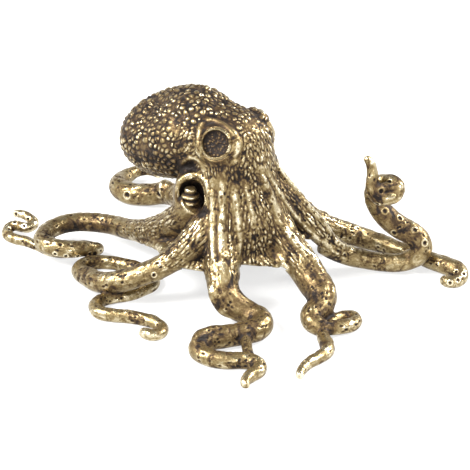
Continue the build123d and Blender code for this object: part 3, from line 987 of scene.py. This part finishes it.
def add_node(tree, kind, settings=(), **links):
    """A node with its settings and its linked or constant inputs."""
    node = tree.nodes.new(kind)
    for name, value in dict(settings).items():
        setattr(node, name, value)
    for name, value in links.items():
        key = int(name[1:]) if name[1:].isdigit() else name.replace("_", " ")
        if isinstance(value, bpy.types.NodeSocket):
            tree.links.new(value, node.inputs[key])
        else:
            node.inputs[key].default_value = value
    return node


def noise(tree, where, size, **settings):
    """The value of a noise whose grains have the given size."""
    node = add_node(tree, "ShaderNodeTexNoise", Vector=where, Scale=1 / size, **settings)
    return node.outputs["Fac"]


def sums(tree, kind, *values):
    """The result of a maths node on one to three values."""
    links = {f"n{at}": value for at, value in enumerate(values)}
    return add_node(tree, "ShaderNodeMath", {"operation": kind}, **links).outputs[0]


brass = bpy.data.materials.new("antiqued_brass")
brass.use_nodes = True
tree = brass.node_tree
tree.nodes.clear()
# The lightness read here is the brass's wear, with painted shade taken from it at the listed spots
# of the skin.
proud = add_node(tree, "ShaderNodeAttribute", {"attribute_name": "brass_lightness"}).outputs["Fac"]
along = add_node(tree, "ShaderNodeAttribute", {"attribute_name": "flow"}).outputs["Vector"]
where = add_node(tree, "ShaderNodeTexCoord").outputs["Object"]
blotch = noise(tree, where, blotch_size, Detail=5.0, Roughness=0.6)
specks = noise(tree, along, speck_size, Detail=2.0, Roughness=0.6)
stain = noise(tree, where, stain_size, Detail=7.0, Roughness=0.7, Distortion=0.6)
stain = add_node(
    tree, "ShaderNodeMapRange", {"interpolation_type": "SMOOTHSTEP"}, Value=stain, From_Min=0.49,
    From_Max=0.66, To_Min=0.0, To_Max=stain_depth,
).outputs["Result"]
rubbed = sums(tree, "MULTIPLY_ADD", blotch, blotch_share, proud)
rubbed = sums(tree, "MULTIPLY_ADD", specks, speck_share, rubbed)
rubbed = sums(tree, "SUBTRACT", rubbed, stain)
rubbed = sums(tree, "SUBTRACT", rubbed, patina_level)
ramp = add_node(tree, "ShaderNodeValToRGB", Fac=rubbed)
while len(ramp.color_ramp.elements) < len(patina_stops):
    ramp.color_ramp.elements.new(0.5)
for element, (share, code) in zip(ramp.color_ramp.elements, patina_stops):
    element.position = share
    element.color = linear(code)
metal = add_node(
    tree, "ShaderNodeMapRange", Value=rubbed, From_Min=0.2, From_Max=0.6, To_Min=0.35, To_Max=0.98
)
rough = add_node(
    tree, "ShaderNodeMapRange", Value=rubbed, From_Min=0.2, From_Max=0.7, To_Min=0.6, To_Max=0.27
)
pores = noise(tree, along, pore_size, Detail=3.0, Roughness=0.6)
pores = add_node(tree, "ShaderNodeBump", Height=pores, Strength=0.6, Distance=pore_depth)
shader = add_node(
    tree, "ShaderNodeBsdfPrincipled", Base_Color=ramp.outputs["Color"],
    Metallic=metal.outputs["Result"], Roughness=rough.outputs["Result"],
    Normal=pores.outputs["Normal"], Specular_IOR_Level=0.25,
)
add_node(tree, "ShaderNodeOutputMaterial", Surface=shader.outputs["BSDF"])
for piece in pieces.values():
    piece.data.materials.append(brass)

# Studio. A sheet of white paper lies under the figurine and curves up all round it. Three soft lamps
# and the light of the room fall on it, and part of the white that the camera sees is its own glow.
paper_bend = ((0, 0), (0.55, 0), (0.7, 0.015), (0.8, 0.06), (0.86, 0.14), (0.88, 0.25), (0.88, 0.6))
paper_turns = 64
room_light = 0.3
paper_glow = 0.7
lamp_aim = Vector((0, 0, 15 * mm))

sweep = bmesh.new()
verts = [sweep.verts.new((out, 0, up)) for out, up in paper_bend]
links = [sweep.edges.new(pair) for pair in zip(verts, verts[1:])]
bmesh.ops.spin(
    sweep, geom=verts + links, cent=(0, 0, 0), axis=(0, 0, 1), angle=math.tau, steps=paper_turns,
    use_merge=True,
)
bmesh.ops.remove_doubles(sweep, verts=sweep.verts, dist=0.01 * mm)
bmesh.ops.recalc_face_normals(sweep, faces=sweep.faces)
bmesh.ops.reverse_faces(sweep, faces=sweep.faces)
for face in sweep.faces:
    face.smooth = True
paper_mesh = bpy.data.meshes.new("paper_sweep")
sweep.to_mesh(paper_mesh)
sweep.free()
paper_sheet = bpy.data.objects.new("paper_sweep", paper_mesh)
scene.collection.objects.link(paper_sheet)
paper = bpy.data.materials.new("white_paper")
paper.use_nodes = True
tree = paper.node_tree
tree.nodes.clear()
path = add_node(tree, "ShaderNodeLightPath")
matt = add_node(tree, "ShaderNodeBsdfDiffuse", Color=linear("#F4F4F2"))
glow = add_node(tree, "ShaderNodeEmission", Color=linear("#FFFFFF"), Strength=1.0)
white = sums(tree, "MAXIMUM", path.outputs["Is Camera Ray"], path.outputs["Is Glossy Ray"])
white = sums(tree, "MAXIMUM", white, path.outputs["Is Transmission Ray"])
white = sums(tree, "MULTIPLY", white, paper_glow)
mix = add_node(tree, "ShaderNodeMixShader", n0=white, n1=matt.outputs[0], n2=glow.outputs[0])
add_node(tree, "ShaderNodeOutputMaterial", Surface=mix.outputs[0])
paper_mesh.materials.append(paper)

world = bpy.data.worlds.new("studio")
world.use_nodes = True
tree = world.node_tree
tree.nodes.clear()
sky = add_node(tree, "ShaderNodeBackground", Color=linear("#FFFFFF"), Strength=room_light)
add_node(tree, "ShaderNodeOutputWorld", Surface=sky.outputs[0])
scene.world = world

lamps = (
    ("key", (-0.35, -0.15, 0.4), 0.2, 7.5),
    ("rim", (0.42, 0.1, 0.35), 0.18, 6.0),
    ("fill", (0.1, -0.5, 0.3), 0.12, 1.2),
)
for name, place, size, power in lamps:
    lamp = bpy.data.lights.new(name, "AREA")
    lamp.size = size
    lamp.energy = power
    holder = bpy.data.objects.new(name, lamp)
    holder.location = place
    aim = lamp_aim - Vector(place)
    holder.rotation_euler = aim.to_track_quat("-Z", "Y").to_euler()
    scene.collection.objects.link(holder)

lens = bpy.data.cameras.new("camera")
lens.sensor_width = 36
lens.lens = lens.sensor_width * view_lens / view_size
lens.clip_start = 0.01
camera = bpy.data.objects.new("camera", lens)
camera.location = view_place
camera.rotation_euler = (-to_viewer).to_track_quat("-Z", "Y").to_euler()
scene.collection.objects.link(camera)
scene.camera = camera
scene.view_settings.view_transform = "Standard"
